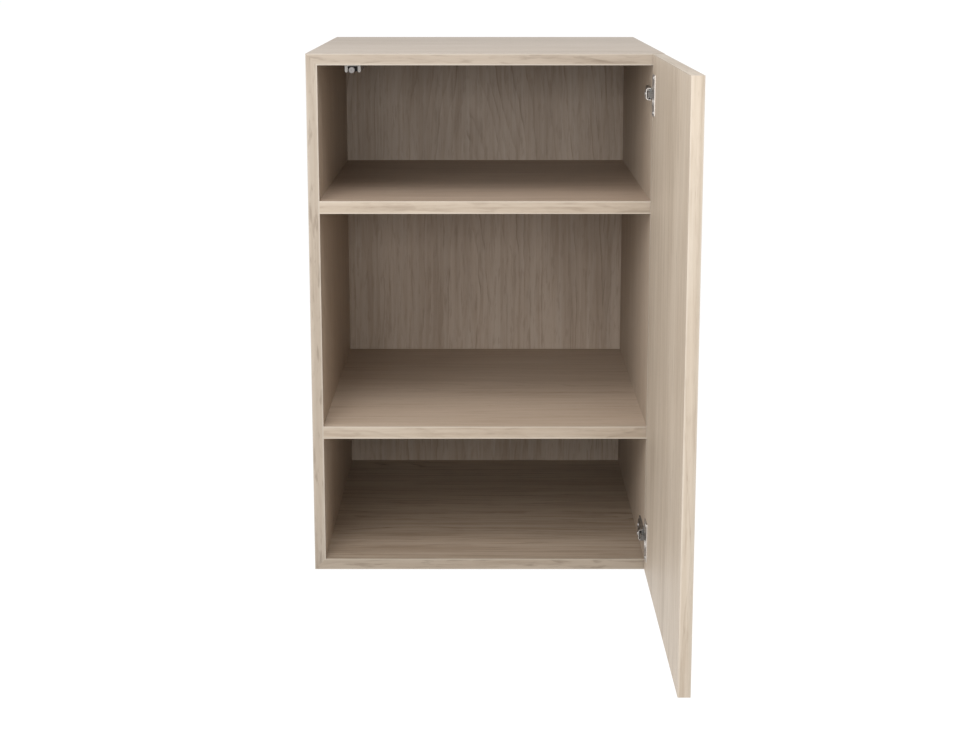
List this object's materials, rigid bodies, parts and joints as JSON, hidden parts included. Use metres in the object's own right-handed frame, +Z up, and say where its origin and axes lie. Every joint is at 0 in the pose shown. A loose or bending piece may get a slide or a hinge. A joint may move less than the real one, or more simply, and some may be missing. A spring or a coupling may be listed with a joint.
{
  "type": "hanging wall cabinet",
  "caption": "Hanging wall cabinet with mitred carcass, fixed shelves and a push-to-open door on concealed hinges.",
  "frame": {"origin": "midway between the two hanging holes, on the wall plane at the back of the cabinet", "axes": "+X to the right seen from the front, +Y towards the wall, +Z up; the door is open at a right angle at rest"},
  "size_m": [0.5, 1.08, 0.75],
  "materials": {
    "carcass_veneer": "limed oak veneer, matt lacquer",
    "back_veneer": "limed oak veneer, matt lacquer",
    "shelf_veneer": "limed oak veneer, matt lacquer",
    "front_edge": "limed oak edge band, matt lacquer",
    "door_veneer": "limed oak veneer, matt lacquer",
    "door_edge": "limed oak edge band, matt lacquer",
    "dowel_beech": "plain beech",
    "hanger_steel": "zinc plated",
    "hinge_zinc": "die-cast zinc, nickel plated",
    "hinge_nickel": "nickel plated steel",
    "screw_steel": "zinc plated steel",
    "latch_grey": "moulded, light grey",
    "latch_dark": "moulded, near black",
    "plunger_grey": "moulded, light grey"
  },
  "bodies": {
    "cabinet": {"left_side": "carcass_veneer", "right_side": "carcass_veneer", "top_panel": "carcass_veneer", "bottom_panel": "carcass_veneer", "back_panel": "back_veneer", "upper_shelf": "shelf_veneer", "lower_shelf": "shelf_veneer", "left_side_band": "front_edge", "right_side_band": "front_edge", "top_band": "front_edge", "bottom_band": "front_edge", "upper_shelf_band": "front_edge", "lower_shelf_band": "front_edge", "corner_dowels": "dowel_beech", "shelf_dowels": "dowel_beech", "left_hanging_plate": "hanger_steel", "right_hanging_plate": "hanger_steel", "hanging_plate_screws": "hanger_steel", "upper_hinge_plate": "hinge_zinc", "lower_hinge_plate": "hinge_zinc", "hinge_plate_screws": "screw_steel", "upper_hinge_arm": "hinge_nickel", "lower_hinge_arm": "hinge_nickel", "hinge_arm_screws": "screw_steel", "upper_hinge_tongue": "hinge_nickel", "lower_hinge_tongue": "hinge_nickel", "tongue_rivets": "screw_steel", "latch_housing": "latch_grey", "latch_cartridge": "latch_dark", "latch_screws": "screw_steel"},
    "door": {"door_panel": "door_veneer", "door_hinge_band": "door_edge", "door_free_band": "door_edge", "door_top_band": "door_edge", "door_bottom_band": "door_edge", "upper_hinge_cup": "hinge_nickel", "lower_hinge_cup": "hinge_nickel", "hinge_cup_screws": "screw_steel", "upper_hinge_pin": "screw_steel", "lower_hinge_pin": "screw_steel"},
    "plunger": {"latch_plunger": "plunger_grey", "latch_tip": "plunger_grey"}
  },
  "joints": [
    {"name": "door_hinge", "type": "hinge", "parent": "cabinet", "child": "door", "pos_m": [0.2415, -0.5905, -0.712], "axis": [0, 0, 1], "range_deg": [-90, 15]},
    {"name": "plunger_slide", "type": "slide", "parent": "cabinet", "child": "plunger", "axis": [0, 1, 0], "range_m": [-0.0028, 0.0164]}
  ],
  "couplings": [
    {"joint": "plunger_slide", "follows": "door_hinge", "m_per_rad": -0.010377}
  ]
}
